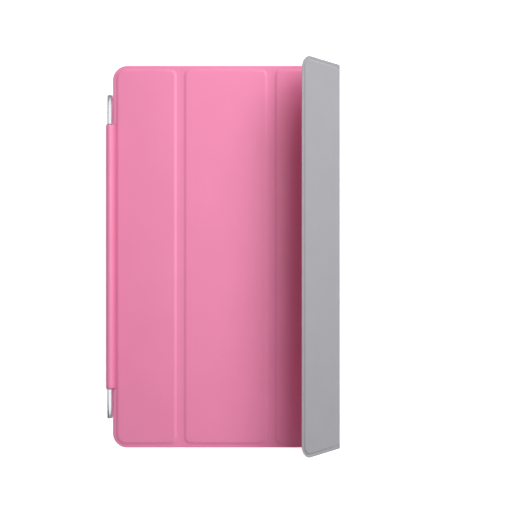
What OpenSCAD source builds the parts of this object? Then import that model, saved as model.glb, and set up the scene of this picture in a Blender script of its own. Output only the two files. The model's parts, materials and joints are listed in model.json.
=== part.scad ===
// Folding cover for a tablet: four stiff panels in a two-ply sheet, polyurethane outside
// and microfibre inside, joined to a magnetic aluminium hinge along one edge.
// Millimetres. +Y runs along the hinge, +X from the hinge to the free edge, +Z up.
// The hinge pin stands over the origin, and the contact face of the clasp lies at z = 0.
// The cover lies flat, with its last panel folded up and back over the third one.

/* [Cover] */
// Height of the cover, along the hinge
cover_h = 240; // [200:1:260]
// Distance from the hinge pin to the middle of the first fold
fold_1_x = 43.95; // [42:0.05:46]
// Distance from the hinge pin to the middle of the second fold
fold_2_x = 100.95; // [99:0.05:103]
// Distance from the hinge pin to the middle of the third fold
fold_3_x = 144.1; // [142:0.05:146]
// Distance from the hinge pin to the free edge, laid flat
free_edge_x = 186.85; // [184:0.05:190]
// Radius of the cover's four outer corners
corner_r = 9; // [6:0.5:12]

/* [Layers] */
// Thickness of the microfibre lining
lining_t = 0.45; // [0.4:0.05:0.6]
// Thickness of the polyurethane skin
skin_t = 0.6; // [0.5:0.05:0.7]
// Thickness of the stiffener board in each panel
board_t = 0.8; // [0.8:0.1:1.1]
// Flat rim left around the raised part of a panel
rim_w = 1.7; // [1.4:0.1:2.2]
// Width of the sloping side of the raised part
slope_w = 1.6; // [1.2:0.1:2]

/* [Folds] */
// Length of the bare two-ply web between the two bends of a fold
web_len = 3.6; // [3.5:0.1:4.2]
// Angle of each of the two bends at the last fold; the flap stands at 180 less twice this
last_bend = 64; // [0:1:85]

/* [Hinge] */
// Height of the hinge pin over the clasp's contact face
pin_z = 3.75; // [3.75:0.05:4]
// Radius of the hinge pin
pin_r = 0.75; // [0.6:0.05:0.8]
// Radius of the two bare end knuckles
knuckle_r = 1.9; // [1.7:0.05:1.9]
// Length of one end knuckle
knuckle_len = 18.2; // [14:0.1:20]
// Half the length of the wrapped middle of the hinge
wrap_half = 82.4; // [60:0.1:83]
// Width of the clasp bar
bar_w = 3.6; // [3.2:0.1:3.6]
// Thickness of the clasp bar
bar_t = 1.25; // [1.15:0.05:1.25]

/* [Inserts] */
// Number of magnets in the clasp bar
clasp_magnet_count = 10; // [6:1:12]
// Number of magnets along the free edge
edge_magnet_count = 10; // [6:1:12]
// Thickness of the steel keeper plate
keeper_t = 0.4; // [0.3:0.1:0.5]

/* [Hidden] */

$fn = 64;
eps = 0.01;

// Layers: the web is the two plies alone, and a panel is the plies with the board between
web_t = lining_t + skin_t;
board_top = lining_t + board_t;
panel_t = board_top + skin_t;

// Places along X, with the cover laid flat
cover_left = 1.6;
fold_x = [fold_1_x, fold_2_x, fold_3_x];
cover_right = free_edge_x;

// A web turns about the middle of its own thickness, and a panel stops just short of it
bend_z = web_t / 2;
bend_gap = 0.08;
edge_from_bend = web_t / 2 + bend_gap;

// Raised part of a panel
raised_r = 5;
board_r = 4;
board_gap = 0.1;

// Strip from the hinge down to the first panel
strip_x = 2.95;
tube_r = knuckle_r - 0.15;
wrap_r = tube_r + skin_t;
strip_run = strip_x;
strip_rise = pin_z - bend_z;
strip_reach = sqrt(strip_run * strip_run + strip_rise * strip_rise);
strip_tuck = 0.05;
strip_mid_r = wrap_r - web_t / 2 - strip_tuck;
strip_angle = 180 - atan2(strip_rise, strip_run) - asin(strip_mid_r / strip_reach);
strip_len = sqrt(strip_reach * strip_reach - strip_mid_r * strip_mid_r);

// Clasp
running_gap = 0.05;
end_gap = 0.3;
knuckle_start = wrap_half + end_gap;
bar_half = knuckle_start + knuckle_len;
bar_left = -2.3;
neck_w = 2.4;
pin_depth = 9;
pin_inset = 0.3;
pocket_w = 2.6;
pocket_half = 80;
pocket_floor = 0.25;
magnet_t = 0.7;
retainer_t = 0.25;
clasp_magnet_len = 12;

// Inserts in the boards
edge_magnet_len = 14;
edge_magnet_w = 4;
edge_magnet_t = 0.6;
edge_magnet_inset = 5.2;
wake_magnet_r = 4;
wake_magnet_y = 62;
wake_magnet_inset = 17;
insert_gap = 0.05;
keeper_w = 24;
keeper_h = 196;

// Colours
pink = [0.93, 0.56, 0.69];
grey = [0.68, 0.68, 0.70];
board_colour = [0.16, 0.16, 0.17];
metal = [0.82, 0.84, 0.87];
steel = [0.62, 0.63, 0.65];
nickel = [0.75, 0.74, 0.70];

// ---- Places ---------------------------------------------------------------

function near_bend(n) = fold_x[n - 1] - web_len / 2;
function far_bend(n) = fold_x[n - 1] + web_len / 2;
function panel_from(n) = n == 1 ? cover_left : far_bend(n - 1) + edge_from_bend;
function panel_to(n) = n == 4 ? cover_right : near_bend(n) - edge_from_bend;
function raised_from(n) = n == 1 ? strip_x + edge_from_bend : panel_from(n);
function raised_to(n) = n == 4 ? cover_right - rim_w : panel_to(n);

// Turns what follows by a bend angle about a bend at x, lifting the side away from the hinge
module bent_at(x, angle)
{
    translate([x, 0, bend_z])
        rotate([0, -angle, 0])
            translate([-x, 0, -bend_z])
                children();
}

// Puts a piece of panel n in place
module on_panel(n)
{
    if (n == 4)
        bent_at(near_bend(3), last_bend)
            bent_at(far_bend(3), last_bend)
                children();
    else
        children();
}

// Puts a piece of the web at fold n in place
module on_web(n)
{
    if (n == 3)
        bent_at(near_bend(3), last_bend)
            children();
    else
        children();
}

// ---- Outlines ---------------------------------------------------------------

// Rectangle between two x values, centred on y = 0, with rounded corners
module rounded_area(x0, x1, h, r)
{
    for (x = [x0 + r, x1 - r], y = [-h / 2 + r, h / 2 - r])
        translate([x, y])
            circle(r);
    translate([x0 + r, -h / 2])
        square([x1 - x0 - 2 * r, h]);
    translate([x0, -h / 2 + r])
        square([x1 - x0, h - 2 * r]);
}

// The part of the cover's outline that panel n takes
module panel_area(n)
{
    difference()
    {
        intersection()
        {
            rounded_area(cover_left, cover_right, cover_h, corner_r);
            translate([panel_from(n), -cover_h / 2])
                square([panel_to(n) - panel_from(n), cover_h]);
        }
        // The first panel gives way to the strip that climbs to the hinge
        if (n == 1)
            translate([cover_left - 1, -wrap_half - end_gap])
                square([strip_x + edge_from_bend - cover_left + 1, 2 * (wrap_half + end_gap)]);
    }
}

// Area under the board of panel n
module board_area(n, grow = 0)
{
    rounded_area(
        raised_from(n) + slope_w - grow,
        raised_to(n) - slope_w + grow,
        cover_h - 2 * (rim_w + slope_w) + 2 * grow,
        board_r
    );
}

// ---- Panels ---------------------------------------------------------------

// Polyurethane skin of panel n: a flat rim, and a raised part over the board
module outer_skin(n)
{
    color(pink)
    on_panel(n)
    difference()
    {
        union()
        {
            translate([0, 0, lining_t])
                linear_extrude(skin_t)
                    panel_area(n);
            hull()
            {
                translate([0, 0, web_t - eps])
                    linear_extrude(eps)
                        rounded_area(raised_from(n), raised_to(n), cover_h - 2 * rim_w, raised_r, $fn = 32);
                translate([0, 0, panel_t - eps])
                    linear_extrude(eps)
                        rounded_area(
                            raised_from(n) + slope_w,
                            raised_to(n) - slope_w,
                            cover_h - 2 * (rim_w + slope_w),
                            raised_r - 1,
                            $fn = 32
                        );
            }
        }
        translate([0, 0, lining_t - 1])
            linear_extrude(board_t + 1)
                board_area(n, board_gap);
    }
}

// Microfibre lining of panel n
module lining(n)
{
    color(grey)
    on_panel(n)
        linear_extrude(lining_t)
            panel_area(n);
}

// Stiffener board of panel n, with recesses for what it carries
module stiffener(n)
{
    color(board_colour)
    on_panel(n)
    difference()
    {
        translate([0, 0, lining_t])
            linear_extrude(board_t)
                board_area(n);
        if (n == 1)
            translate([0, 0, insert_gap])
                keeper_solid(insert_gap);
        if (n == 4)
        {
            edge_magnet_row(insert_gap);
            wake_magnet_solid(insert_gap);
        }
    }
}

// ---- Folds ---------------------------------------------------------------

// Cross-section of a web from bend to bend, round at each bend
module web_profile(length)
{
    for (x = [0, length])
        translate([x, 0])
            circle(d = web_t);
    translate([0, -web_t / 2])
        square([length, web_t]);
}

// One ply of a web: the profile between two heights, drawn along the cover
module web_ply(length, from_z, to_z, h)
{
    rotate([90, 0, 0])
        linear_extrude(h, center = true)
            intersection()
            {
                web_profile(length);
                translate([-web_t, from_z])
                    square([length + 2 * web_t, to_z - from_z]);
            }
}

module fold_skin(n)
{
    color(pink)
    on_web(n)
        translate([near_bend(n), 0, bend_z])
            web_ply(web_len, lining_t - bend_z, web_t, cover_h);
}

module fold_lining(n)
{
    color(grey)
    on_web(n)
        translate([near_bend(n), 0, bend_z])
            web_ply(web_len, -web_t, lining_t - bend_z, cover_h);
}

// ---- Spine ---------------------------------------------------------------

// A rod along Y about the hinge pin
module rod(r, y0, y1)
{
    translate([0, y1, pin_z])
        rotate([90, 180, 0])
            cylinder(r = r, h = y1 - y0);
}

// Lays a web ply from the strip's bend up to the hinge
module on_strip()
{
    translate([strip_x, 0, bend_z])
        rotate([0, -strip_angle, 0])
            children();
}

// Skin that climbs from the first panel and wraps round the tube. The strip points back
// at the hinge, so its outer side is the low one before it is turned.
module spine_skin()
{
    color(pink)
    difference()
    {
        union()
        {
            rod(wrap_r, -wrap_half, wrap_half);
            on_strip()
                web_ply(strip_len, -web_t, bend_z - lining_t, 2 * wrap_half);
        }
        rod(tube_r, -wrap_half - 1, wrap_half + 1);
    }
}

// Lining under the strip, which ends against the wrap
module spine_lining()
{
    color(grey)
    difference()
    {
        on_strip()
            web_ply(strip_len - web_t / 2, bend_z - lining_t, web_t, 2 * wrap_half);
        rod(wrap_r, -wrap_half - 1, wrap_half + 1);
    }
}

// Aluminium tube that turns on the two pins
module spine_tube()
{
    color(metal)
    difference()
    {
        rod(tube_r, -wrap_half, wrap_half);
        rod(pin_r + running_gap, -wrap_half - 1, wrap_half + 1);
    }
}

// ---- Clasp ---------------------------------------------------------------

// Bar whose lower face holds to the side of a tablet, with a pocket for its magnets
module clasp_bar()
{
    color(metal)
    difference()
    {
        translate([bar_left, -bar_half, 0])
            cube([bar_w, 2 * bar_half, bar_t]);
        translate([bar_left + (bar_w - pocket_w) / 2, -pocket_half, pocket_floor])
            cube([pocket_w, 2 * pocket_half, bar_t]);
    }
}

// Bare knuckle at one end of the hinge, on a neck that stands on the bar
module end_knuckle(side)
{
    y0 = side > 0 ? knuckle_start : -bar_half;
    color(metal)
    difference()
    {
        union()
        {
            rod(knuckle_r, y0, y0 + knuckle_len);
            translate([-neck_w / 2, y0, bar_t])
                cube([neck_w, knuckle_len, pin_z - bar_t]);
        }
        rod(pin_r, y0 - 1, y0 + knuckle_len + 1);
    }
}

// Steel pin, pressed into a knuckle and running in the tube
module hinge_pin(side)
{
    inner = wrap_half - pin_depth;
    outer = bar_half - pin_inset;
    color(steel)
        if (side > 0)
            rod(pin_r, inner, outer);
        else
            rod(pin_r, -outer, -inner);
}

// Row of magnets in the bar's pocket
module clasp_magnets()
{
    pitch = 2 * pocket_half / clasp_magnet_count;
    magnet_w = pocket_w - 0.2;
    color(nickel)
        for (i = [0:clasp_magnet_count - 1])
            translate([
                bar_left + (bar_w - magnet_w) / 2,
                -pocket_half + (i + 0.5) * pitch - clasp_magnet_len / 2,
                pocket_floor
            ])
                cube([magnet_w, clasp_magnet_len, magnet_t]);
}

// Thin steel strip that closes the pocket over the magnets
module magnet_retainer()
{
    color(steel)
        translate([bar_left + (bar_w - pocket_w) / 2, -pocket_half, pocket_floor + magnet_t])
            cube([pocket_w, 2 * pocket_half, retainer_t]);
}

// ---- Inserts ---------------------------------------------------------------

// Body of the steel plate in the first panel, grown by a clearance
module keeper_solid(grow = 0)
{
    x0 = (raised_from(1) + raised_to(1) - keeper_w) / 2;
    translate([x0 - grow, -keeper_h / 2 - grow, board_top - keeper_t - grow])
        cube([keeper_w + 2 * grow, keeper_h + 2 * grow, keeper_t + 2 * grow]);
}

module keeper_plate()
{
    color(steel)
        keeper_solid();
}

// Magnets along the free edge, laid flat, grown by a clearance
module edge_magnet_row(grow = 0)
{
    run = cover_h - 2 * corner_r - 20;
    pitch = run / edge_magnet_count;
    x0 = cover_right - edge_magnet_inset - edge_magnet_w;
    for (i = [0:edge_magnet_count - 1])
        translate([
            x0 - grow,
            -run / 2 + (i + 0.5) * pitch - edge_magnet_len / 2 - grow,
            board_top - edge_magnet_t - grow
        ])
            cube([edge_magnet_w + 2 * grow, edge_magnet_len + 2 * grow, edge_magnet_t + 2 * grow]);
}

module edge_magnets()
{
    color(nickel)
        on_panel(4)
            edge_magnet_row();
}

// Disc that a tablet's sensor looks for, grown by a clearance
module wake_magnet_solid(grow = 0)
{
    translate([cover_right - wake_magnet_inset, wake_magnet_y, board_top - edge_magnet_t - grow])
        cylinder(r = wake_magnet_r + grow, h = edge_magnet_t + 2 * grow);
}

module wake_magnet()
{
    color(nickel)
        on_panel(4)
            wake_magnet_solid();
}

// ---- Nodes ---------------------------------------------------------------

outer_skin(1);  // outer_skin_1
outer_skin(2);  // outer_skin_2
outer_skin(3);  // outer_skin_3
outer_skin(4);  // outer_skin_4
lining(1);  // lining_1
lining(2);  // lining_2
lining(3);  // lining_3
lining(4);  // lining_4
stiffener(1);  // stiffener_1
stiffener(2);  // stiffener_2
stiffener(3);  // stiffener_3
stiffener(4);  // stiffener_4
fold_skin(1);  // fold_skin_1
fold_skin(2);  // fold_skin_2
fold_skin(3);  // fold_skin_3
fold_lining(1);  // fold_lining_1
fold_lining(2);  // fold_lining_2
fold_lining(3);  // fold_lining_3
spine_skin();
spine_lining();
spine_tube();
clasp_bar();
end_knuckle(1);  // end_knuckle_upper
end_knuckle(-1);  // end_knuckle_lower
hinge_pin(1);  // hinge_pin_upper
hinge_pin(-1);  // hinge_pin_lower
clasp_magnets();
magnet_retainer();
keeper_plate();
edge_magnets();
wake_magnet();
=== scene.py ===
"""Looks for the folding tablet cover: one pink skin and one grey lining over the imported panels.

Both sheets are worked out laid flat, as heights over the cover's plane, and then carried round the
rest pose's fold. Lengths in the helper code are millimetres; objects are made in metres.
"""

import json
import math

import bmesh
import bpy
import numpy as np
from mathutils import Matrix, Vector
from mathutils.geometry import tessellate_polygon


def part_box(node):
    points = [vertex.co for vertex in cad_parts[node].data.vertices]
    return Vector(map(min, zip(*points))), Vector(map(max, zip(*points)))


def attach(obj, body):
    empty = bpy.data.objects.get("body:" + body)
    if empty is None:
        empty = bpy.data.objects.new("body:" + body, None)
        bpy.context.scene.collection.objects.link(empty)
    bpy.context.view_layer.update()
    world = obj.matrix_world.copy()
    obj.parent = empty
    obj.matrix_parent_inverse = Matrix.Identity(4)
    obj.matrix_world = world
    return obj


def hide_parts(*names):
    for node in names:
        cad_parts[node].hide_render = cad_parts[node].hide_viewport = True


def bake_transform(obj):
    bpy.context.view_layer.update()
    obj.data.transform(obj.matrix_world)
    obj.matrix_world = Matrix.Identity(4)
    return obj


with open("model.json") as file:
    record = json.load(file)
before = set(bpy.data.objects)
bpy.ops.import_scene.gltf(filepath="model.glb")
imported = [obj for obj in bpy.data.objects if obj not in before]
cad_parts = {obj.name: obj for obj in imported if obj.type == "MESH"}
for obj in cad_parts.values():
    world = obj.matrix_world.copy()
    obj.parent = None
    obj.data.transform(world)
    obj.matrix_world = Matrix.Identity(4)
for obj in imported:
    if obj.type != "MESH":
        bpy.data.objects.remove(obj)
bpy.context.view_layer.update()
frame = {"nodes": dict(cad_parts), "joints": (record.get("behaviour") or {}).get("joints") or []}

MM = 0.001
JOINTS = {j["name"]: j for j in frame["joints"]}


# ---- Sizes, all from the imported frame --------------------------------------


def joint_mm(name):
    return np.array(JOINTS[name]["pos_m"], float) / MM


def box_mm(node):
    low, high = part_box(node)
    return np.array(low, float) / MM, np.array(high, float) / MM


NEAR = [joint_mm(f"fold_{n}")[0] for n in (1, 2, 3)]
WEB = joint_mm("fold_1_far")[0] - NEAR[0]
FAR = [x + WEB for x in NEAR]
MID = [x + WEB / 2 for x in NEAR]
# The panels are 3, 4, 3 and 3 of these units wide
UNIT = (NEAR[1] - NEAR[0]) / 4
BEND_Z = joint_mm("fold_1")[2]
WEB_T = 2 * BEND_Z
LINING_T = box_mm("lining_2")[1][2]
PANEL_T = box_mm("outer_skin_2")[1][2]
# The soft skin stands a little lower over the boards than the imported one
TOP_Z = PANEL_T - 0.28
SKIN_T = WEB_T - LINING_T
HALF_H = box_mm("lining_2")[1][1]
LEFT = box_mm("lining_1")[0][0]
RIGHT = MID[2] + 3 * UNIT
far_3 = joint_mm("fold_3_far") - joint_mm("fold_3")
BEND = math.atan2(far_3[2], far_3[0])

# Outer corners, flat rim round the boards, slope up to them and rounding of the cut edges
CORNER_R = 9.0
RIM = 1.7
SLOPE = 2.2
EDGE_R = 0.42
EDGE_GAP = 0.2
# Corners of the raised parts: at the cover's outer sides, and beside a fold
OUTER_CORNER = 6.4
FOLD_CORNER = 4.8
# How deep the lining is pressed in round the boards, and how much deeper at the line beside them
EMBOSS = 0.38
CREASE = 0.3
# How far the skin bulges over the boards and dips along the webs, and how wide the two are
BULGE = 0.05
BULGE_WIDTH = 14
DIP = 0.05
DIP_WIDTH = 1.3
# The pads in the lining are this much smaller than the raised parts all round. Their sides start
# a little outside that, and are this wide.
PAD_INSET = 0.35
PAD_START = 0.3
PAD_WIDTH = 1.3
# The crease fades to nothing over this distance on each side of its bottom
CREASE_HALF = 0.8
# It ends this far from the middle of a fold, and has its full depth a little further out
CREASE_END = 3.0
CREASE_FADE = 1.5

STRIP_X, _, STRIP_Z = joint_mm("spine_fold")
PIN_X, _, PIN_Z = joint_mm("hinge_pin")
WRAP_HALF = box_mm("spine_skin")[1][1]
TUBE_R = (box_mm("spine_tube")[1][2] - box_mm("spine_tube")[0][2]) / 2
WRAP_R = -box_mm("spine_skin")[0][0]
# The cover's left side is cut back here for the strip to the hinge
SLIT_HALF = WRAP_HALF + 0.08
SLIT_X = STRIP_X + EDGE_R

RAISED = [
    (SLIT_X, NEAR[0] - EDGE_GAP),
    (FAR[0] + EDGE_GAP, NEAR[1] - EDGE_GAP),
    (FAR[1] + EDGE_GAP, NEAR[2] - EDGE_GAP),
    (FAR[2] + EDGE_GAP, RIGHT - RIM),
]


# ---- Heights of the flat cover ----------------------------------------------


def smooth(t):
    """Goes softly from 0 to 1 as t does."""
    t = np.clip(t, 0, 1)
    return t * t * (3 - 2 * t)


def inside(x, y, x0, x1, hy, r_left, r_right):
    """Distance inside a rectangle with rounded corners; negative outside it."""
    cx, hx = (x0 + x1) / 2, (x1 - x0) / 2
    r = np.where(x < cx, r_left, r_right)
    qx, qy = np.abs(x - cx) - (hx - r), np.abs(y) - (hy - r)
    out = np.hypot(np.maximum(qx, 0), np.maximum(qy, 0))
    return r - out - np.minimum(np.maximum(qx, qy), 0)


def raised_depth(x, y):
    """How far a point lies inside the raised part of its panel."""
    depth = np.full(np.shape(x), -99.0)
    for n, (x0, x1) in enumerate(RAISED):
        left_r = OUTER_CORNER if n == 0 else FOLD_CORNER
        right_r = OUTER_CORNER if n == len(RAISED) - 1 else FOLD_CORNER
        depth = np.maximum(depth, inside(x, y, x0, x1, HALF_H - RIM, left_r, right_r))
    return depth


def pressed(d, width=SLOPE, foot=0.16, top=0.42):
    """Height of a sheet over a board's edge, from 0 on the rim to 1 on the board: an even slope
    with a tight bend at the foot and a rounder one at the top."""
    t = np.clip(d / width, 0, 1)
    even = 1 / (1 - foot / 2 - top / 2)
    low = even * t * t / (2 * foot)
    high = 1 - even * (1 - t) ** 2 / (2 * top)
    return np.where(t < foot, low, np.where(t > 1 - top, high, even * (t - foot / 2)))


def rolled(e, r):
    """How far a cut edge of radius r drops at a distance e inside the outline."""
    e = np.clip(e, 0, r)
    return r - np.sqrt(np.maximum(r * r - (r - e) ** 2, 0))


def outline_depth(x, y):
    """How far a point lies inside the cover's outline."""
    return inside(x, y, LEFT, RIGHT, HALF_H, CORNER_R, CORNER_R)


def skin_top(x, y):
    """The raised panels, a little fuller in their middle, with a shallow dip along each web."""
    d = raised_depth(x, y)
    z = WEB_T + (TOP_Z - WEB_T) * pressed(d) + BULGE * smooth(d / BULGE_WIDTH)
    for fold in MID:
        z = z - DIP * np.exp(-(((x - fold) / DIP_WIDTH) ** 2))
    return z - rolled(outline_depth(x, y), EDGE_R)


def pad_depth(x, y):
    """How far a point of the lining lies inside the pad that a board makes in it."""
    return raised_depth(x, y) - PAD_INSET


def crease(x, y):
    """The line pressed into the lining round the pads, but not beside a fold: 0 away from it and
    1 at its bottom."""
    past = (pad_depth(x, y) + PAD_START) / CREASE_HALF
    line = np.where(past < 0, smooth(past + 1), 1 - smooth(past))
    for fold in MID:
        line = line * smooth((np.abs(x - fold) - CREASE_END) / CREASE_FADE)
    return line


def lining_top(x, y):
    """The hidden face between the two sheets, a little higher round the pads than over them."""
    beside = 1 - smooth((pad_depth(x, y) + PAD_START) / PAD_WIDTH)
    return LINING_T + 0.12 * beside + 0.22 * crease(x, y)


def skin_bottom(x, y):
    """The skin's hidden face, which follows the lining and leaves room for the boards."""
    return lining_top(x, y) + (TOP_Z - WEB_T) * pressed(raised_depth(x, y))


def lining_bottom(x, y):
    """The face that can be seen: down at z = 0 on the pads and pressed in round them."""
    pad = pressed(pad_depth(x, y) + PAD_START, PAD_WIDTH, foot=0.2, top=0.35)
    return EMBOSS * (1 - pad) + CREASE * crease(x, y) + 0.2 * rolled(outline_depth(x, y), 0.2)


# ---- From flat to the rest pose ----------------------------------------------

# The sheet turns over this distance on each side of a bend
HALF = 1.25


def direction(a):
    """Unit vector in XZ at an angle a above +X."""
    return np.array([math.cos(a), math.sin(a)])


def turn_share(s, v):
    """How much of a bend a point has turned at rest, for a place s along the flat sheet from the
    bend and v above its middle."""
    along = np.array([HALF, 0.0]) + HALF * direction(BEND)
    w = smooth((s + HALF) / (2 * HALF))
    for _ in range(40):
        px = s * np.cos(w * BEND) - v * np.sin(w * BEND)
        pz = s * np.sin(w * BEND) + v * np.cos(w * BEND)
        t = ((px + HALF) * along[0] + pz * along[1]) / (along @ along)
        w = 0.5 * w + 0.5 * smooth(t)
    return w


def turned(x, v, about, w):
    """Turns a point by the share w of a bend, about the bend at x = about."""
    a = w * BEND
    s = x - about
    return about + s * np.cos(a) - v * np.sin(a), s * np.sin(a) + v * np.cos(a)


def to_rest(x, z):
    """Carries flat points round the two bends of the last fold."""
    x, v = np.asarray(x, float), np.asarray(z, float) - BEND_Z
    after = x > MID[2]
    far = np.where(after, turn_share(x - FAR[2], v), 0.0)
    near = np.where(after, 1.0, turn_share(x - NEAR[2], v))
    x, v = turned(x, v, FAR[2], far)
    x, v = turned(x, v, NEAR[2], near)
    return x, v + BEND_Z


# ---- Mesh making ---------------------------------------------------------------


def new_object(name, points, faces, flat=None, smooth_shading=True):
    """Makes a mesh from points in millimetres; flat holds their places on the flat cover."""
    mesh = bpy.data.meshes.new(name)
    mesh.from_pydata((np.asarray(points) * MM).tolist(), [], faces)
    mesh.validate()
    if flat is not None and len(mesh.vertices) == len(flat):
        a = mesh.attributes.new("flat", "FLOAT_VECTOR", "POINT")
        a.data.foreach_set("vector", (np.asarray(flat, np.float32) * MM).ravel())
    mesh.update()
    obj = bpy.data.objects.new(name, mesh)
    bpy.context.scene.collection.objects.link(obj)
    if smooth_shading:
        mesh.polygons.foreach_set("use_smooth", [True] * len(mesh.polygons))
        mesh.set_sharp_from_angle(angle=math.radians(48))
    return obj


def slab(name, top, bottom, keep=None, flat_top=None, flat_bottom=None):
    """A closed solid between two grids of points, leaving out the cells where keep is false."""
    rows, cols = top.shape[:2]
    count = rows * cols
    index = np.arange(count).reshape(rows, cols)
    keep = np.ones((rows - 1, cols - 1), bool) if keep is None else keep
    faces, edges = [], {}
    for i, j in zip(*np.nonzero(keep)):
        quad = [index[i, j], index[i + 1, j], index[i + 1, j + 1], index[i, j + 1]]
        quad = [int(q) for q in quad]
        faces.append(quad)
        faces.append([q + count for q in reversed(quad)])
        for a, b in zip(quad, quad[1:] + quad[:1]):
            if (b, a) in edges:
                del edges[(b, a)]
            else:
                edges[(a, b)] = True
    for a, b in edges:
        faces.append([b, a, a + count, b + count])
    points = np.concatenate([top.reshape(-1, 3), bottom.reshape(-1, 3)])
    flat = None
    if flat_top is not None:
        flat = np.concatenate([flat_top.reshape(-1, 3), flat_bottom.reshape(-1, 3)])
    used = np.unique(np.array([q for f in faces for q in f]))
    to = -np.ones(2 * count, int)
    to[used] = np.arange(len(used))
    faces = [[int(to[q]) for q in f] for f in faces]
    return new_object(name, points[used], faces, None if flat is None else flat[used])


def spaced(*stops):
    """Lines through stops given as (place, step up to the next place)."""
    out = []
    for (a, step), (b, _) in zip(stops, stops[1:]):
        n = max(1, round((b - a) / step))
        out.extend(a + (b - a) * i / n for i in range(n))
    return np.array(out + [stops[-1][0]])


# Steps of the grids in millimetres: over a slope, and inwards over a rolled edge
FINE = 0.3
EDGE_STEPS = [0, 0.04, 0.12, 0.24, EDGE_R]


def y_lines():
    """Places of the grid's lines along the hinge, close together at the ends and at the slit's."""
    top = [HALF_H - e for e in EDGE_STEPS]
    inner = spaced(
        (-HALF_H + 0.7, FINE),
        (-HALF_H + 11, 3),
        (-SLIT_HALF, 0.3),
        (-WRAP_HALF, 9),
        (WRAP_HALF, 0.3),
        (SLIT_HALF, 3),
        (HALF_H - 11, FINE),
        (HALF_H - 0.7, 1),
    )
    return np.array([-t for t in top] + list(inner) + top[::-1])


# Width of the stretch at each side that is squeezed to follow the rounded corners
ZONE = 14.0


def corner_inset(y):
    """How far the cover's rounded corner brings the end of a line of points in from the side."""
    over = np.maximum(np.abs(y) - (HALF_H - CORNER_R), 0)
    return CORNER_R - np.sqrt(np.maximum(CORNER_R**2 - over**2, 0))


def sheet_grid(x_lines, left_end=False, right_end=False):
    """Flat x and y of a stretch of the cover, with its side zones squeezed into the corners."""
    y = y_lines()
    rows = []
    for yy in y:
        x = np.array(x_lines, float)
        inset = float(corner_inset(yy))
        if left_end:
            m = x < LEFT + ZONE
            x[m] = LEFT + inset + (x[m] - LEFT) / ZONE * (ZONE - inset)
        if right_end:
            m = x > RIGHT - ZONE
            x[m] = RIGHT - inset - (RIGHT - x[m]) / ZONE * (ZONE - inset)
        rows.append(x)
    gx = np.array(rows).T
    gy = np.tile(y, (len(x_lines), 1))
    return gx, gy


def stretch(name, x_lines, top, bottom, left_end=False, right_end=False):
    """A stretch of a sheet between the heights top and bottom, carried to the rest pose."""
    gx, gy = sheet_grid(x_lines, left_end, right_end)
    zt, zb = top(gx, gy), bottom(gx, gy)
    keep = None
    if left_end:
        cx = (gx[:-1, :-1] + gx[1:, 1:]) / 2
        cy = (gy[:-1, :-1] + gy[1:, 1:]) / 2
        keep = ~((cx < SLIT_X) & (np.abs(cy) < SLIT_HALF))
    made = []
    for z in (zt, zb):
        rx, rz = to_rest(gx, z)
        made.append(np.stack([rx, gy, rz], -1))
    flats = [np.stack([gx, gy, z], -1) for z in (zt, zb)]
    return slab(name, made[0], made[1], keep, flats[0], flats[1])


# Each sheet is cut in the middle of its webs and of its two inner panels. The lines across a
# stretch are close together over the slopes and the folds, up to SIDE from a bend.
MID_2 = (FAR[0] + NEAR[1]) / 2
MID_3 = (FAR[1] + NEAR[2]) / 2
SIDE = 3.2


def left_lines():
    first = [LEFT + e for e in EDGE_STEPS[:-1]]
    rest = spaced(
        (LEFT + EDGE_R, FINE),
        (SLIT_X, 0.14),
        (SLIT_X + 2.4, FINE),
        (LEFT + ZONE, 5),
        (NEAR[0] - SIDE, 0.2),
        (MID[0], 1),
    )
    return np.array(first + list(rest))


def lines_from_web(mid_web, far_bend, middle):
    return spaced((mid_web, 0.2), (far_bend + SIDE, 5), (middle, 1))


def lines_to_web(middle, near_bend, mid_web):
    return spaced((middle, 5), (near_bend - SIDE, 0.2), (mid_web, 1))


def right_lines():
    rest = spaced((MID[2], 0.2), (FAR[2] + SIDE, 5), (RIGHT - ZONE, FINE), (RIGHT - EDGE_R, 1))
    return np.array(list(rest) + [RIGHT - e for e in EDGE_STEPS[-2::-1]])


# Tag, lines, the bodies at its two ends, the bend it turns about, and its free end if it has one
STRETCHES = [
    ("1", left_lines(), "panel_1", "web_1", NEAR[0], {"left_end": True}),
    ("2_left", lines_from_web(MID[0], FAR[0], MID_2), "web_1", "panel_2", FAR[0], {}),
    ("2_right", lines_to_web(MID_2, NEAR[1], MID[1]), "panel_2", "web_2", NEAR[1], {}),
    ("3_left", lines_from_web(MID[1], FAR[1], MID_3), "web_2", "panel_3", FAR[1], {}),
    ("3_right", lines_to_web(MID_3, NEAR[2], MID[2]), "panel_3", "web_3", NEAR[2], {}),
    ("4", right_lines(), "web_3", "panel_4", FAR[2], {"right_end": True}),
]

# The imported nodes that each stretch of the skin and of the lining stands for
STANDS_FOR = {
    "1": [("outer_skin_1", "lining_1")],
    "2_left": [("fold_skin_1", "fold_lining_1")],
    "2_right": [("outer_skin_2", "lining_2")],
    "3_left": [("fold_skin_2", "fold_lining_2")],
    "3_right": [("outer_skin_3", "lining_3")],
    "4": [("outer_skin_4", "lining_4"), ("fold_skin_3", "fold_lining_3")],
}


skins, linings = [], []
for tag, lines, a, b, bend, ends in STRETCHES:
    for kind, top, bottom, group, pick in (
        ("skin", skin_top, skin_bottom, skins, 0),
        ("lining", lining_top, lining_bottom, linings, 1),
    ):
        o = stretch(f"{kind}_{tag}", lines, top, bottom, **ends)
        for nodes in STANDS_FOR[tag]:
            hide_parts(nodes[pick])
        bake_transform(o)
        group.append(o)


# ---- Strip and wrap --------------------------------------------------------------

reach = math.hypot(STRIP_X - PIN_X, PIN_Z - STRIP_Z)
strip_r = WRAP_R - WEB_T / 2 - 0.05
# The strip rises from the panel's edge and touches the tube's wrap
STRIP_TURN = math.atan2(PIN_Z - STRIP_Z, STRIP_X - PIN_X) + math.asin(strip_r / reach)
STRIP_L = math.sqrt(reach**2 - strip_r**2)
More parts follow.
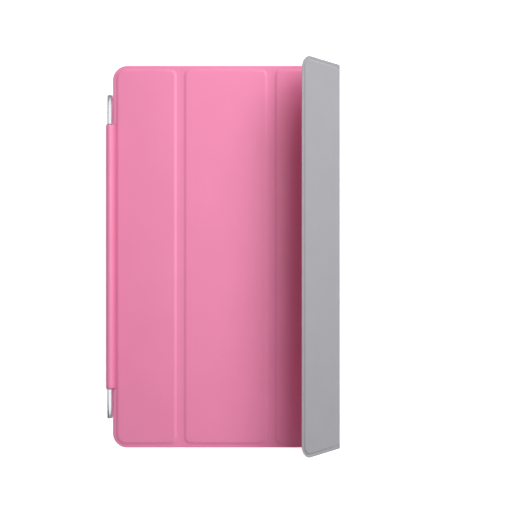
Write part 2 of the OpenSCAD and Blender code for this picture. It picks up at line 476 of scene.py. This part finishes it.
# Half the length of the rounded bend at its foot, and that bend's radius
STRIP_ROUND = 0.42
STRIP_R = STRIP_ROUND / math.tan(STRIP_TURN / 2)


def strip_path(s):
    """Place on the strip's middle line and the way its pink side faces, at a distance s from the
    slit's edge, towards the hinge."""
    at = np.array([SLIT_X, STRIP_Z])
    lead = SLIT_X - STRIP_X - STRIP_ROUND
    if s <= lead:
        return at - np.array([s, 0]), np.array([0.0, 1.0])
    s -= lead
    centre = at - np.array([lead, 0]) + np.array([0, STRIP_R])
    turn = min(1.0, s / (2 * STRIP_ROUND)) * STRIP_TURN
    n = np.array([math.sin(turn), math.cos(turn)])
    p = centre - STRIP_R * n
    if s > 2 * STRIP_ROUND:
        p = p + (s - 2 * STRIP_ROUND) * direction(math.pi - STRIP_TURN)
    return p, n


def swept(name, outer, inner, y, flat_run, edge=0.22):
    """A solid along Y between two profiles in XZ, with its long ends' outer edges rolled."""
    top, bottom, ft, fb = [], [], [], []
    for (ox, oz), (ix, iz), run in zip(outer, inner, flat_run):
        d = np.array([ox - ix, oz - iz])
        t = np.linalg.norm(d)
        d = d / max(t, 1e-9)
        drop = np.array([rolled(WRAP_HALF - abs(v), min(edge, 0.8 * t)) for v in y])
        top.append(np.stack([ox - d[0] * drop, y, oz - d[1] * drop], -1))
        bottom.append(np.stack([np.full(len(y), ix), y, np.full(len(y), iz)], -1))
        ft.append(np.stack([np.full(len(y), run), y, np.full(len(y), 0.5)], -1))
        fb.append(np.stack([np.full(len(y), run), y, np.zeros(len(y))], -1))
    arrays = [np.array(v) for v in (top, bottom, ft, fb)]
    return slab(name, arrays[0], arrays[1], None, arrays[2], arrays[3])


WRAP_ENDS = (0, 0.03, 0.1, 0.22)
wrap_y = np.array(
    [-WRAP_HALF + e for e in WRAP_ENDS]
    + list(np.linspace(-WRAP_HALF + 2, WRAP_HALF - 2, 34))
    + [WRAP_HALF - e for e in reversed(WRAP_ENDS)]
)

# The strip's skin meets the wrap's at this distance from the slit's edge
JOIN = 0.62 * STRIP_L + STRIP_ROUND
runs = list(np.linspace(0, JOIN, 26))
points = [strip_path(s) for s in runs]
strip_skin = swept(
    "strip_skin",
    [p + n * BEND_Z for p, n in points],
    [p - n * (SKIN_T - BEND_Z) for p, n in points],
    wrap_y,
    [SLIT_X - s for s in runs],
)
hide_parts("spine_skin")

lining_end = STRIP_L - 1.7 + STRIP_ROUND
runs = list(np.linspace(0, lining_end, 22))
points = [strip_path(s) for s in runs]
strip_lining = swept(
    "strip_lining",
    [p - n * (SKIN_T - BEND_Z) for p, n in points],
    [p - n * (BEND_Z - EMBOSS * (1 - min(1, s))) for (p, n), s in zip(points, runs)],
    wrap_y,
    [SLIT_X - s for s in runs],
    edge=0.02,
)
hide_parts("spine_lining")

strip_end_at = strip_path(2 * STRIP_ROUND)[0]

# The wrap leaves the strip, goes over the tube and ends against the strip's lining
full = STRIP_L + SLIT_X - STRIP_X
outer, inner, flat_run = [], [], []
for s in np.linspace(JOIN, full, 8):
    p, n = strip_path(s)
    outer.append(p + n * BEND_Z)
    inner.append(p - n * (SKIN_T - BEND_Z))
    flat_run.append(SLIT_X - s)
pin = np.array([PIN_X, PIN_Z])
first = math.pi / 2 - STRIP_TURN
WRAP_TURN = math.radians(288)
WRAP_STEPS = 72
# It swells by SWELL over its first quarter and thins out over its last few steps
SWELL = 0.05
THINS_FROM = WRAP_STEPS - 4
for k in range(1, WRAP_STEPS + 1):
    grow = SWELL * min(1, 4 * k / WRAP_STEPS)
    r_out = strip_r + BEND_Z + grow - 0.07 * max(0, k - THINS_FROM)
    r_in = min(TUBE_R - 0.04 + grow, r_out - 0.05)
    ray = direction(first + WRAP_TURN * k / WRAP_STEPS)
    outer.append(pin + ray * r_out)
    inner.append(pin + ray * r_in)
    flat_run.append(SLIT_X - full - WRAP_R * WRAP_TURN * k / WRAP_STEPS)
wrap_skin = swept("wrap_skin", outer, inner, wrap_y, flat_run, edge=0.3)
for o in (strip_skin, strip_lining):
    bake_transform(o)
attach(wrap_skin, "spine")
skins += [strip_skin, wrap_skin]
linings.append(strip_lining)


# ---- End knuckles -----------------------------------------------------------------


KNUCKLE_STEPS = 72
HOLE_STEPS = 48
NECK_HALF = 1.2
EASE = 0.28


def knuckle_outline(r, foot):
    """A knuckle's outline in XZ, round the pin and down to its foot, and the way out at each point."""
    start = -math.acos(NECK_HALF / r)
    loop = [(PIN_X + NECK_HALF, foot)]
    for k in range(KNUCKLE_STEPS + 1):
        a = start + (math.pi - 2 * start) * k / KNUCKLE_STEPS
        loop.append((PIN_X + r * math.cos(a), PIN_Z + r * math.sin(a)))
    loop.append((PIN_X - NECK_HALF, foot))
    loop = np.array(loop)
    along = np.roll(loop, -1, 0) - np.roll(loop, 1, 0)
    out = np.stack([along[:, 1], -along[:, 0]], -1)
    return loop, out / np.linalg.norm(out, axis=1)[:, None]


def eased_rings(y0, y1):
    """Places along Y and insets of a knuckle's rings, with a quarter round at each end."""
    turns = [math.pi / 2 * k / 4 for k in range(5)]
    near = [(EASE * (1 - math.cos(a)), EASE * (1 - math.sin(a))) for a in turns]
    return [(y0 + e, inset) for e, inset in near] + [(y1 - e, inset) for e, inset in reversed(near)]


def pin_hole():
    """Points round the pin, in XZ."""
    low, high = box_mm("hinge_pin_upper")
    pin_r = (high[2] - low[2]) / 2
    turns = [2 * math.pi * i / HOLE_STEPS for i in range(HOLE_STEPS)]
    return [(PIN_X + pin_r * math.cos(a), PIN_Z + pin_r * math.sin(a)) for a in turns]


def tube_faces(count, first_ring, second_ring):
    """Faces between two rings of count points that start at the given indices."""
    faces = []
    for i in range(count):
        j = (i + 1) % count
        faces.append([first_ring + i, first_ring + j, second_ring + j, second_ring + i])
    return faces


def knuckle(name, node):
    """Round knuckle on its neck, with eased ends and the pin's hole through it."""
    low, high = box_mm(node)
    loop, out = knuckle_outline((high[0] - low[0]) / 2, low[2])
    count = len(loop)
    rings = eased_rings(low[1], high[1])
    points, faces = [], []
    for y, inset in rings:
        points.extend((x, y, z) for x, z in loop - out * inset)
    for k in range(len(rings) - 1):
        faces += tube_faces(count, k * count, (k + 1) * count)
    hole = pin_hole()
    base = len(points)
    for y in (low[1], high[1]):
        points.extend((x, y, z) for x, z in hole)
    bore = [Vector((x, z, 0)) for x, z in hole]
    for end, ring in enumerate((0, len(rings) - 1)):
        outline = [Vector((x, z, 0)) for x, _, z in points[ring * count : (ring + 1) * count]]
        for triangle in tessellate_polygon([outline, bore]):
            starts = (ring * count, base + end * HOLE_STEPS - count)
            face = [starts[t >= count] + t for t in triangle]
            faces.append(face if end else face[::-1])
    faces += tube_faces(HOLE_STEPS, base + HOLE_STEPS, base)
    o = new_object(name, points, faces)
    bm = bmesh.new()
    bm.from_mesh(o.data)
    bmesh.ops.recalc_face_normals(bm, faces=bm.faces)
    bm.to_mesh(o.data)
    bm.free()
    o.data.set_sharp_from_angle(angle=math.radians(35))
    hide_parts(node)
    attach(o, "clasp")
    return o


knuckles = [
    knuckle("knuckle_upper", "end_knuckle_upper"),
    knuckle("knuckle_lower", "end_knuckle_lower"),
]


# ---- Materials ----------------------------------------------------------------------


class Tree:
    """A few words for wiring up a material's nodes."""

    def __init__(self, name):
        self.material = bpy.data.materials.new(name)
        self.material.use_nodes = True
        self.nodes = self.material.node_tree.nodes
        self.links = self.material.node_tree.links
        self.shader = self.nodes["Principled BSDF"]

    def add(self, kind, **values):
        n = self.nodes.new(kind)
        for k, v in values.items():
            setattr(n, k, v)
        return n

    def wire(self, a, out, b, into):
        self.links.new(a.outputs[out], b.inputs[into])

    def scaled(self, source, out, scale):
        m = self.add("ShaderNodeMapping")
        m.inputs["Scale"].default_value = scale
        self.wire(source, out, m, "Vector")
        return m

    def noise(self, source, scale, detail=2.0, rough=0.5, out="Vector"):
        n = self.add("ShaderNodeTexNoise")
        n.inputs["Scale"].default_value = scale
        n.inputs["Detail"].default_value = detail
        n.inputs["Roughness"].default_value = rough
        self.wire(source, out, n, "Vector")
        return n

    def ranged(self, source, out, lo, hi, a, b):
        m = self.add("ShaderNodeMapRange")
        for k, v in zip(("From Min", "From Max", "To Min", "To Max"), (lo, hi, a, b)):
            m.inputs[k].default_value = v
        self.wire(source, out, m, "Value")
        return m

    def product(self, a, b):
        """The first outputs of two nodes, multiplied."""
        m = self.add("ShaderNodeMath", operation="MULTIPLY")
        self.wire(a, 0, m, 0)
        self.wire(b, 0, m, 1)
        return m

    def mixed(self, factor, out, first, second):
        m = self.add("ShaderNodeMix", data_type="RGBA")
        m.inputs["A"].default_value = (*first, 1)
        m.inputs["B"].default_value = (*second, 1)
        self.wire(factor, out, m, "Factor")
        return m

    def bump(self, source, out, strength, distance, below=None):
        b = self.add("ShaderNodeBump")
        b.inputs["Strength"].default_value = strength
        b.inputs["Distance"].default_value = distance
        self.wire(source, out, b, "Height")
        if below is not None:
            self.wire(below, "Normal", b, "Normal")
        return b

    def set(self, **values):
        for k, v in values.items():
            self.shader.inputs[k.replace("_", " ")].default_value = v


def skin_material():
    t = Tree("pink_polyurethane")
    at = t.add("ShaderNodeAttribute", attribute_name="flat")
    tone = t.noise(at, 38.0, 3.0, 0.55)
    tone_range = t.ranged(tone, "Fac", 0.3, 0.7, 0.0, 1.0)
    colour = t.mixed(tone_range, "Result", (0.806, 0.234, 0.408), (0.822, 0.244, 0.422))
    # Painted shade: the strip beside the hinge and the foot of the first panel's slope are darkened a
    # little, less so above and below the strip's ends
    place = t.add("ShaderNodeSeparateXYZ")
    t.wire(at, "Vector", place, "Vector")
    from_left = t.ranged(place, "X", -0.0008, 0.0022, 0.0, 1.0)
    from_right = t.ranged(place, "X", 0.0034, 0.0050, 1.0, 0.0)
    beside = t.add("ShaderNodeMath", operation="ABSOLUTE")
    t.wire(place, "Y", beside, "Value")
    end = WRAP_HALF * MM
    along = t.ranged(beside, "Value", end - 0.0005, end + 0.002, 1.0, 0.3)
    strip = t.product(t.product(from_left, from_right), along)
    # The painted shade's colour, mixed in over the strip's mask
    painted_shade = t.add("ShaderNodeMix", data_type="RGBA")
    t.wire(strip, "Value", painted_shade, "Factor")
    t.wire(colour, "Result", painted_shade, "A")
    painted_shade.inputs["B"].default_value = (0.60, 0.195, 0.32, 1)
    t.wire(painted_shade, "Result", t.shader, "Base Color")
    grain = t.add("ShaderNodeTexVoronoi", feature="SMOOTH_F1")
    grain.inputs["Scale"].default_value = 2300.0
    grain.inputs["Smoothness"].default_value = 0.6
    t.wire(at, "Vector", grain, "Vector")
    fine = t.noise(at, 5200.0, 2.0, 0.5)
    wave = t.noise(at, 55.0, 2.0, 0.5)
    rough = t.ranged(fine, "Fac", 0.2, 0.8, 0.40, 0.52)
    t.wire(rough, "Result", t.shader, "Roughness")
    b = t.bump(wave, "Fac", 0.1, 0.0001)
    b = t.bump(grain, "Distance", 0.22, 0.00005, b)
    b = t.bump(fine, "Fac", 0.12, 0.00003, b)
    t.wire(b, "Normal", t.shader, "Normal")
    t.set(Specular_IOR_Level=0.42)
    return t.material


def lining_material():
    t = Tree("grey_microfibre")
    at = t.add("ShaderNodeAttribute", attribute_name="flat")
    nap = t.noise(at, 60.0, 4.0, 0.6)
    fibre_at = t.scaled(at, "Vector", (1.0, 0.45, 1.0))
    fibre = t.noise(fibre_at, 3600.0, 3.0, 0.65)
    tone = t.ranged(nap, "Fac", 0.3, 0.7, 0.0, 1.0)
    colour = t.mixed(tone, "Result", (0.263, 0.260, 0.278), (0.272, 0.269, 0.287))
    flecks = t.ranged(fibre, "Fac", 0.25, 0.75, 0.0, 1.0)
    speckle = t.mixed(flecks, "Result", (0.86, 0.86, 0.86), (1.0, 1.0, 1.0))
    both = t.add("ShaderNodeMix", data_type="RGBA", blend_type="MULTIPLY")
    both.inputs["Factor"].default_value = 1.0
    t.wire(colour, "Result", both, "A")
    t.wire(speckle, "Result", both, "B")
    t.wire(both, "Result", t.shader, "Base Color")
    b = t.bump(nap, "Fac", 0.1, 0.0003)
    b = t.bump(fibre, "Fac", 0.45, 0.00006, b)
    t.wire(b, "Normal", t.shader, "Normal")
    t.set(Roughness=0.96, Specular_IOR_Level=0.2, Sheen_Weight=0.25, Sheen_Roughness=0.5)
    return t.material


def metal_material(name, low, high, rough, streak, across):
    """Turned or drawn metal with fine lines, from noise stretched by the scale called across."""
    t = Tree(name)
    at = t.add("ShaderNodeTexCoord")
    lines_at = t.scaled(at, "Object", across)
    lines = t.noise(lines_at, streak, 3.0, 0.6)
    smudge = t.noise(at, 140.0, 3.0, 0.55, out="Object")
    tone = t.ranged(lines, "Fac", 0.3, 0.7, 0.0, 1.0)
    colour = t.mixed(tone, "Result", low, high)
    t.wire(colour, "Result", t.shader, "Base Color")
    r = t.ranged(smudge, "Fac", 0.3, 0.7, rough * 0.95, rough * 1.08)
    t.wire(r, "Result", t.shader, "Roughness")
    b = t.bump(lines, "Fac", 0.05, 0.000005)
    t.wire(b, "Normal", t.shader, "Normal")
    t.set(Metallic=1.0)
    return t.material


def board_material():
    t = Tree("dark_board")
    at = t.add("ShaderNodeTexCoord")
    weave = t.noise(t.scaled(at, "Object", (1.0, 4.0, 1.0)), 900.0, 3.0, 0.6)
    tone = t.ranged(weave, "Fac", 0.3, 0.7, 0.0, 1.0)
    colour = t.mixed(tone, "Result", (0.035, 0.036, 0.040), (0.070, 0.071, 0.078))
    t.wire(colour, "Result", t.shader, "Base Color")
    b = t.bump(weave, "Fac", 0.3, 0.00005)
    t.wire(b, "Normal", t.shader, "Normal")
    t.set(Roughness=0.6)
    return t.material


pink = skin_material()
grey = lining_material()
hinge_metal = metal_material(
    "hinge_aluminium", (0.76, 0.775, 0.81), (0.82, 0.835, 0.865), 0.13, 900.0, (6.0, 0.25, 6.0)
)
steel = metal_material(
    "ground_steel", (0.52, 0.52, 0.53), (0.62, 0.62, 0.63), 0.28, 1200.0, (4.0, 0.3, 4.0)
)
nickel = metal_material(
    "magnet_nickel", (0.64, 0.63, 0.60), (0.74, 0.73, 0.69), 0.3, 700.0, (1.0, 1.0, 1.0)
)
board = board_material()

for o in skins:
    o.data.materials.append(pink)
for o in linings:
    o.data.materials.append(grey)
for o in knuckles:
    o.data.materials.append(hinge_metal)

NODE_MATERIALS = {
    "spine_tube": hinge_metal,
    "clasp_bar": hinge_metal,
    "hinge_pin_upper": steel,
    "hinge_pin_lower": steel,
    "magnet_retainer": steel,
    "keeper_plate": steel,
    "clasp_magnets": nickel,
    "edge_magnets": nickel,
    "wake_magnet": nickel,
    "stiffener_1": board,
    "stiffener_2": board,
    "stiffener_3": board,
    "stiffener_4": board,
}
for name, material in NODE_MATERIALS.items():
    o = frame["nodes"][name]
    if not o.material_slots:
        o.data.materials.append(material)
    for s in o.material_slots:
        s.material = material

# The clasp bar's long edges are eased a little
bar = frame["nodes"]["clasp_bar"]
weld = bar.modifiers.new("weld", "WELD")
weld.merge_threshold = 0.000001
ease = bar.modifiers.new("ease", "BEVEL")
ease.width = 0.00016
ease.segments = 3
ease.limit_method = "ANGLE"
ease.angle_limit = math.radians(60)


# ---- Floor, light and camera ------------------------------------------------------------

FLOOR_HALF = 5000.0
FLOOR_Z = -0.02
floor_corners = [
    (FLOOR_HALF * side_x, FLOOR_HALF * side_y, FLOOR_Z)
    for side_x, side_y in ((-1, -1), (1, -1), (1, 1), (-1, 1))
]
floor = new_object("floor", floor_corners, [[0, 1, 2, 3]], smooth_shading=False)
ft = Tree("pale_floor")
ft.set(
    Base_Color=(0.93, 0.93, 0.94, 1),
    Roughness=0.85,
    Specular_IOR_Level=0.1,
    Emission_Color=(1.0, 1.0, 1.0, 1),
)
# The floor glows like a light table, apart from the part under the hinge and the first panel
floor_at = ft.add("ShaderNodeTexCoord")
floor_place = ft.add("ShaderNodeSeparateXYZ")
ft.wire(floor_at, "Object", floor_place, "Vector")
floor_y = ft.add("ShaderNodeMath", operation="ABSOLUTE")
ft.wire(floor_place, "Y", floor_y, "Value")
past_hinge = ft.ranged(floor_place, "X", -0.0023, -0.0017, 0.0, 1.0)
before_fold = ft.ranged(floor_place, "X", 0.038, 0.04, 1.0, 0.0)
within_ends = ft.ranged(floor_y, "Value", 0.1, 0.101, 1.0, 0.0)
dark = ft.product(ft.product(past_hinge, before_fold), within_ends)
glow = ft.ranged(dark, "Value", 0.0, 1.0, 0.75, 0.0)
ft.wire(glow, "Result", ft.shader, "Emission Strength")
floor.data.materials.append(ft.material)

scene = bpy.context.scene
scene.view_settings.view_transform = "Standard"
scene.view_settings.look = "None"
scene.view_settings.exposure = 0.0
scene.view_settings.gamma = 1.0

world = bpy.data.worlds.new("studio")
world.use_nodes = True
sky = world.node_tree.nodes["Background"]
sky.inputs["Color"].default_value = (0.97, 0.98, 1.0, 1)
sky.inputs["Strength"].default_value = 0.19
scene.world = world


def softbox(name, at, aim, size, power):
    """A rectangular white light at a place, turned towards another."""
    light = bpy.data.lights.new(name, "AREA")
    light.shape = "RECTANGLE"
    light.size, light.size_y = size
    light.energy = power
    o = bpy.data.objects.new(name, light)
    scene.collection.objects.link(o)
    o.location = at
    o.rotation_euler = (Vector(aim) - Vector(at)).to_track_quat("-Z", "Y").to_euler()
    return o


HINGE = (0.0, 0.0, 0.0)
CENTRE = (0.092, 0.0, 0.0)
key = softbox("key", (0.4, 0.14, 0.5), CENTRE, (0.5, 0.56), 3.5)
softbox("left", (-0.55, 0.25, 0.42), HINGE, (1.0, 0.5), 0.46)
upper = softbox("upper", (0.45, 0.7, 0.5), CENTRE, (0.6, 0.35), 3.9)

# The bright metal knuckles mirror whole lights, so they have a soft one of their own overhead
glint = softbox("glint", (0.19, 0.0, 0.59), HINGE, (0.62, 1.7), 3.1)


def link_to_knuckles(light, state):
    """Lets a light reach only the knuckles (INCLUDE) or everything else (EXCLUDE)."""
    group = bpy.data.collections.new(light.name + "_on")
    for o in knuckles:
        group.objects.link(o)
    for member in group.collection_objects:
        member.light_linking.link_state = state
    light.light_linking.receiver_collection = group


link_to_knuckles(key, "EXCLUDE")
link_to_knuckles(upper, "EXCLUDE")
link_to_knuckles(glint, "INCLUDE")

# From the camera to the cover's top, and the width that it sees there
DISTANCE = 0.575
SEEN_WIDTH = 0.3213
SENSOR = 36.0
camera_data = bpy.data.cameras.new("camera")
camera_data.sensor_width = SENSOR
camera_data.lens = SENSOR * DISTANCE / SEEN_WIDTH
camera_data.clip_start = 0.01
camera_data.clip_end = 20.0
camera = bpy.data.objects.new("camera", camera_data)
camera.location = (0.0915, 0.0004, DISTANCE + PANEL_T * MM)
camera.rotation_euler = (0.0, 0.0, 0.0)
scene.collection.objects.link(camera)
scene.camera = camera
